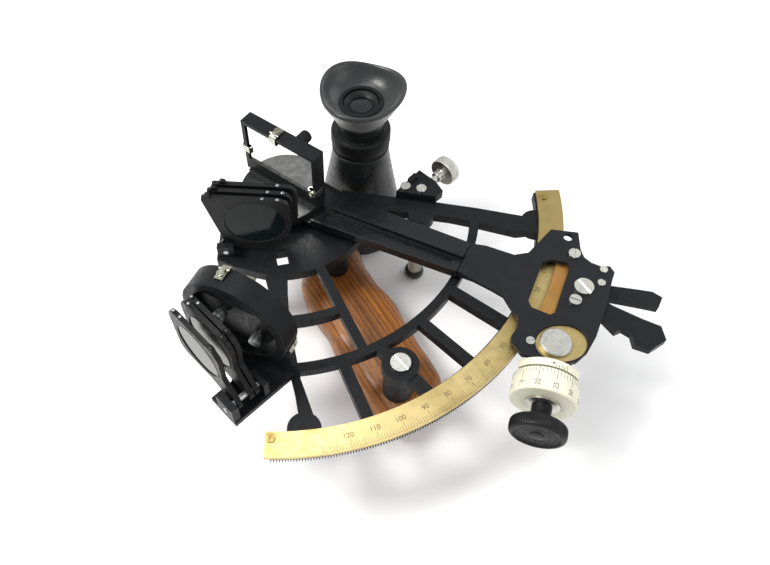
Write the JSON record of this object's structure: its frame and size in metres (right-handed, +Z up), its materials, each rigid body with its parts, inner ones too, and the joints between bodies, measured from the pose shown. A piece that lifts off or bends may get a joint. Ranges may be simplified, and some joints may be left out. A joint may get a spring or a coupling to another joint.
{
  "type": "nautical sextant",
  "caption": "Black marine sextant with brass arc, micrometer drum, two mirrors, folding shades and wooden grip, with its detached telescope standing beside it.",
  "frame": {"origin": "middle of the footprint of the whole set (sextant on its feet and detached telescope), on the plane the feet stand on", "axes": "+Z up, away from the table; the plane of the arc is parallel to XY; +Y from the arc towards the pivot of the index arm; +X towards the low-reading end of the arc, where the telescope holder is"},
  "size_m": [0.2292, 0.2334, 0.125],
  "materials": {
    "black_enamel": "semi-gloss black enamel, slightly textured",
    "black_plastic": "fine matte black",
    "black_rubber": "soft matte black",
    "arc_brass": "satin, pale and slightly dulled",
    "index_bronze": "satin, warm coppery",
    "rack_bronze": "machined",
    "nickel": "nickel plate, lightly brushed",
    "steel": "machined steel",
    "ivory": "ivory white enamel",
    "grip_wood": "oiled hardwood",
    "mirror_glass": "silvered glass",
    "clear_glass": "polished",
    "index_shade_glass_1": "smoky amber, polished",
    "index_shade_glass_2": "neutral grey, polished",
    "index_shade_glass_3": "dark neutral, polished",
    "horizon_shade_glass_1": "dark green grey, polished",
    "horizon_shade_glass_2": "neutral grey, polished",
    "horizon_shade_glass_3": "pale smoke, polished"
  },
  "bodies": {
    "frame": {"frame": "black_enamel", "arc_scale": "arc_brass", "arc_rack": "rack_bronze", "frame_screws": "nickel", "handle_grip": "grip_wood", "handle_posts": "black_enamel", "legs": "black_enamel", "pivot_bush": "rack_bronze", "index_shade_bracket": "black_enamel", "shade_pins": "steel", "horizon_bracket": "black_enamel", "horizon_mirror_frame": "black_enamel", "horizon_mirror_glass": "mirror_glass", "horizon_mirror_back": "black_plastic", "horizon_mirror_clips": "nickel", "horizon_mirror_adjusters": "nickel", "telescope_holder": "black_enamel"},
    "index_arm": {"index_arm": "black_enamel", "arm_disc": "black_enamel", "pivot_axle": "steel", "pivot_cap": "black_enamel", "end_plate": "black_enamel", "index_plate": "index_bronze", "pivot_bearing_plate": "arc_brass", "plate_screws": "nickel", "fixed_lever": "black_enamel", "index_mirror_frame": "black_enamel", "index_mirror_glass": "mirror_glass", "index_mirror_clips": "nickel", "index_mirror_adjusters": "nickel"},
    "worm_carriage": {"worm_carriage": "black_enamel", "carriage_pivot": "nickel", "worm_bushes": "rack_bronze", "release_lever": "black_enamel", "release_spring": "steel", "index_sleeve": "ivory"},
    "micrometer": {"worm_shaft": "steel", "micrometer_drum": "ivory", "drum_washer": "nickel", "micrometer_knob": "black_plastic"},
    "thumbscrew": {"holder_thumbscrew": "nickel"},
    "telescope": {"telescope_tube": "black_enamel", "objective_lens": "clear_glass"},
    "focus": {"focus_ring": "black_plastic"},
    "eyepiece": {"eyepiece_tube": "black_plastic", "eyepiece_lens": "clear_glass", "eyecup": "black_rubber"},
    "index_shade_1": {"index_shade_1_frame": "black_plastic", "index_shade_1_glass": "index_shade_glass_1"},
    "horizon_shade_1": {"horizon_shade_1_frame": "black_plastic", "horizon_shade_1_glass": "horizon_shade_glass_1"},
    "index_shade_2": {"index_shade_2_frame": "black_plastic", "index_shade_2_glass": "index_shade_glass_2"},
    "horizon_shade_2": {"horizon_shade_2_frame": "black_plastic", "horizon_shade_2_glass": "horizon_shade_glass_2"},
    "index_shade_3": {"index_shade_3_frame": "black_plastic", "index_shade_3_glass": "index_shade_glass_3"},
    "horizon_shade_3": {"horizon_shade_3_frame": "black_plastic", "horizon_shade_3_glass": "horizon_shade_glass_3"}
  },
  "joints": [
    {"name": "index_arm_swing", "type": "hinge", "parent": "frame", "child": "index_arm", "pos_m": [-0.00155, 0.0883, 0.064], "axis": [0, 0, 1], "range_deg": [-52.5, 11]},
    {"name": "worm_release", "type": "hinge", "parent": "index_arm", "child": "worm_carriage", "pos_m": [0.02965, -0.08113, 0.058], "axis": [0, 0, -1], "range_deg": [0, 2.2], "deforming": ["release_spring"]},
    {"name": "drum_turn", "type": "hinge", "parent": "worm_carriage", "child": "micrometer", "pos_m": [0.07702, -0.0552, 0.058], "axis": [-0.8771, -0.4802, 0], "range_deg": [-7920, 37800]},
    {"name": "thumbscrew_turn", "type": "hinge", "parent": "frame", "child": "thumbscrew", "pos_m": [0.06405, 0.0343, 0.065], "axis": [1, 0, 0], "range_deg": [0, 1080]},
    {"name": "telescope_slide_away", "type": "slide", "parent": "frame", "child": "telescope", "axis": [0.8, 0.6, 0], "range_m": [0, 0.15]},
    {"name": "focus_turn", "type": "hinge", "parent": "telescope", "child": "focus", "pos_m": [0.05145, 0.0768, 0.087], "axis": [0, 0, 1], "range_deg": [-180, 180]},
    {"name": "eyepiece_focus", "type": "slide", "parent": "telescope", "child": "eyepiece", "axis": [0, 0, 1], "range_m": [-0.003, 0.003]},
    {"name": "index_shade_1_fold", "type": "hinge", "parent": "frame", "child": "index_shade_1", "pos_m": [-0.04228, 0.08894, 0.0674], "axis": [-0.7133, -0.7009, 0], "range_deg": [0, 90]},
    {"name": "index_shade_2_fold", "type": "hinge", "parent": "frame", "child": "index_shade_2", "pos_m": [-0.04527, 0.08599, 0.0674], "axis": [-0.7133, -0.7009, 0], "range_deg": [0, 90]},
    {"name": "index_shade_3_fold", "type": "hinge", "parent": "frame", "child": "index_shade_3", "pos_m": [-0.04827, 0.08305, 0.0674], "axis": [-0.7133, -0.7009, 0], "range_deg": [0, 90]},
    {"name": "horizon_shade_1_fold", "type": "hinge", "parent": "frame", "child": "horizon_shade_1", "pos_m": [-0.10715, 0.0028, 0.0732], "axis": [1, 0, 0], "range_deg": [0, 90]},
    {"name": "horizon_shade_2_fold", "type": "hinge", "parent": "frame", "child": "horizon_shade_2", "pos_m": [-0.09995, 0.0028, 0.0732], "axis": [1, 0, 0], "range_deg": [0, 90]},
    {"name": "horizon_shade_3_fold", "type": "hinge", "parent": "frame", "child": "horizon_shade_3", "pos_m": [-0.09645, 0.0028, 0.0732], "axis": [1, 0, 0], "range_deg": [0, 90]}
  ],
  "couplings": [
    {"joint": "index_arm_swing", "follows": "drum_turn", "ratio": -0.0013889},
    {"joint": "eyepiece_focus", "follows": "focus_turn", "m_per_rad": 0.00095493}
  ]
}
